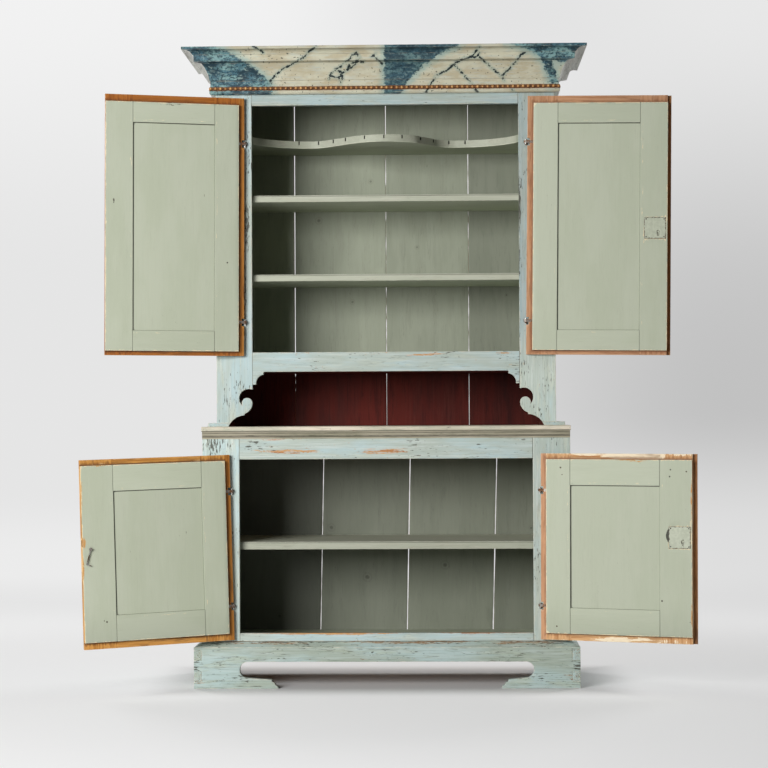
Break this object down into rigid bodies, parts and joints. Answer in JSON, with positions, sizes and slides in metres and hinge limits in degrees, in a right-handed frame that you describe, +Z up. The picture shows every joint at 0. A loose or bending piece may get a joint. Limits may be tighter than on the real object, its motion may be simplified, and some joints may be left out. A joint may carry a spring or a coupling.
{
  "type": "kas cupboard",
  "caption": "Painted two-part pine cupboard with lipped doors, open niche, scalloped spoon shelf, marbled cornice and dovetailed plinth.",
  "frame": {"origin": "on the floor, under the middle of the box round the cupboard as it stands with its doors open", "axes": "+X to the cupboard's right as seen from the front, +Y from the front towards the back boards, +Z up; the doors open towards -Y"},
  "size_m": [1.9679, 0.6657, 2.091],
  "materials": {
    "outside_paint": "worn blue-green paint over pine",
    "door_paint": "grey-green paint with bare lips",
    "inside_paint": "grey-green paint, oxblood in the niche",
    "marbled_paint": "cream and blue marbling",
    "gilt_beads": "rubbed gilding",
    "bare_pine": "bare darkened pine",
    "wrought_iron": "dark forged iron",
    "painted_iron": "iron painted with the door"
  },
  "bodies": {
    "case": {"upper_side_left": "outside_paint", "upper_side_right": "outside_paint", "upper_top_board": "inside_paint", "upper_floor_board": "inside_paint", "upper_shelf_middle": "inside_paint", "upper_shelf_lower": "inside_paint", "upper_top_rail": "outside_paint", "upper_back_board_1": "inside_paint", "upper_back_board_2": "inside_paint", "upper_back_board_3": "inside_paint", "upper_back_board_4": "inside_paint", "upper_stile_left": "outside_paint", "upper_stile_right": "outside_paint", "apron_rail": "outside_paint", "upper_shoes": "outside_paint", "spoon_shelf": "inside_paint", "cornice_front": "marbled_paint", "cornice_left": "marbled_paint", "cornice_right": "marbled_paint", "bead_string": "gilt_beads", "lower_side_left": "outside_paint", "lower_stile_left": "outside_paint", "lower_side_right": "outside_paint", "lower_stile_right": "outside_paint", "lower_floor_board": "inside_paint", "lower_shelf": "inside_paint", "lower_top_rail": "outside_paint", "lower_bottom_rail": "outside_paint", "lower_back_board_1": "inside_paint", "lower_back_board_2": "inside_paint", "lower_back_board_3": "inside_paint", "lower_back_board_4": "inside_paint", "waist_board": "outside_paint", "waist_moulding": "outside_paint", "plinth_front": "outside_paint", "plinth_side_left": "outside_paint", "plinth_side_right": "outside_paint", "plinth_back_rail": "bare_pine", "plinth_blocks": "bare_pine", "hinge_pintles": "wrought_iron"},
    "upper_left_door": {"upper_left_door_frame": "door_paint", "upper_left_door_panel": "door_paint", "upper_left_hinge_eyes": "wrought_iron"},
    "upper_right_door": {"upper_right_door_frame": "door_paint", "upper_right_door_panel": "door_paint", "upper_right_hinge_eyes": "wrought_iron", "upper_right_astragal": "bare_pine", "upper_right_lock_plate": "painted_iron"},
    "lower_left_door": {"lower_left_door_frame": "door_paint", "lower_left_door_panel": "door_paint", "lower_left_hinge_eyes": "wrought_iron", "hook_staple": "wrought_iron"},
    "lower_right_door": {"lower_right_door_frame": "door_paint", "lower_right_door_panel": "door_paint", "lower_right_hinge_eyes": "wrought_iron", "lower_right_astragal": "bare_pine", "lower_right_lock_plate": "painted_iron"},
    "upper_right_bolt": {"upper_right_lock_bolt": "wrought_iron"},
    "lower_right_bolt": {"lower_right_lock_bolt": "wrought_iron"},
    "door_hook": {"hook": "wrought_iron"}
  },
  "joints": [
    {"name": "upper_left_hinge", "type": "hinge", "parent": "case", "child": "upper_left_door", "pos_m": [-0.47391, -0.06981, 1.489], "axis": [-0.0026, 0, -1], "range_deg": [-164.9, 15.1]},
    {"name": "upper_right_hinge", "type": "hinge", "parent": "case", "child": "upper_right_door", "pos_m": [0.44909, -0.06981, 1.489], "axis": [0.0061, 0, 1], "range_deg": [-176.8, 3.2]},
    {"name": "lower_left_hinge", "type": "hinge", "parent": "case", "child": "lower_left_door", "pos_m": [-0.51291, -0.12681, 0.455], "axis": [0.0126, 0, -0.9999], "range_deg": [-158, 22]},
    {"name": "lower_right_hinge", "type": "hinge", "parent": "case", "child": "lower_right_door", "pos_m": [0.48809, -0.12681, 0.455], "axis": [0.0021, 0, 1], "range_deg": [-163, 17]},
    {"name": "upper_right_bolt_slide", "type": "slide", "parent": "upper_right_door", "child": "upper_right_bolt", "axis": [0.9984, -0.0558, -0.0122], "range_m": [0, 0.01]},
    {"name": "lower_right_bolt_slide", "type": "slide", "parent": "lower_right_door", "child": "lower_right_bolt", "axis": [0.9563, -0.2924, -0.0041], "range_m": [0, 0.01]},
    {"name": "hook_swing", "type": "hinge", "parent": "lower_left_door", "child": "door_hook", "pos_m": [-0.94447, -0.32644, 0.46661], "axis": [0.3746, -0.9272, 0.0047], "range_deg": [-100, 100]}
  ]
}
